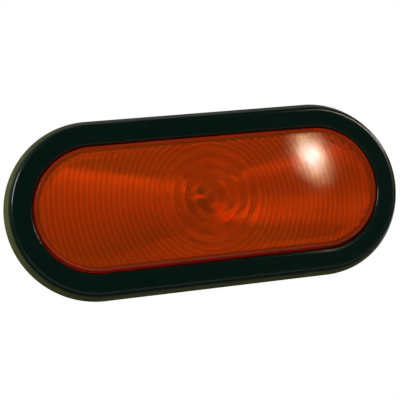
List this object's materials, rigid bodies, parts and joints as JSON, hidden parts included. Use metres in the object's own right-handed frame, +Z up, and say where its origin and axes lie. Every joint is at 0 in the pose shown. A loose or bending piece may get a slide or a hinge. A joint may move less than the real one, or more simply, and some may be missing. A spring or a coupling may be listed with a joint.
{
  "type": "trailer tail light",
  "caption": "Oval stop, turn and tail light for a trailer: a ringed red-orange lens over a reflector and bulb, sealed to a housing with a plug well, held in a panel by a rubber grommet.",
  "frame": {"origin": "centre of the oval in the plane of the panel's front face, which is the flat back of the grommet's flange", "axes": "+X along the lamp, +Y to the back through the panel, +Z up; the lens faces -Y"},
  "size_m": [0.192, 0.052, 0.0836],
  "materials": {
    "grommet_rubber": "moulded, half matt",
    "lens_red": "clear coloured, glossy",
    "sealant": "matt",
    "housing_black": "moulded, matt",
    "bright_reflector": "metallised plastic, bright",
    "bulb_glass": "clear",
    "support_wire": "drawn",
    "tungsten": "drawn",
    "soft_rubber": "matt",
    "carrier_plastic": "moulded, matt",
    "potting": "cast resin",
    "brass": "turned and stamped"
  },
  "bodies": {
    "grommet": {"grommet": "grommet_rubber"},
    "lamp": {"lens": "lens_red", "lens_sealant": "sealant", "housing": "housing_black", "plug_socket": "housing_black", "reflector": "bright_reflector", "bulb_glass": "bulb_glass", "bulb_stem": "bulb_glass", "filament_supports": "support_wire", "filament_stop": "tungsten", "filament_tail": "tungsten", "shock_mount": "soft_rubber", "bulb_carrier": "carrier_plastic", "bulb_leads": "support_wire", "terminal_potting": "potting", "terminal_pin_ground": "brass", "terminal_pin_tail": "brass", "terminal_pin_stop": "brass", "contact_strap_ground": "brass", "contact_strap_tail": "brass", "contact_strap_stop": "brass"}
  },
  "joints": [
    {"name": "lamp_pull", "type": "slide", "parent": "grommet", "child": "lamp", "axis": [0, -1, 0], "range_m": [0, 0.06], "deforming": ["grommet"]}
  ]
}
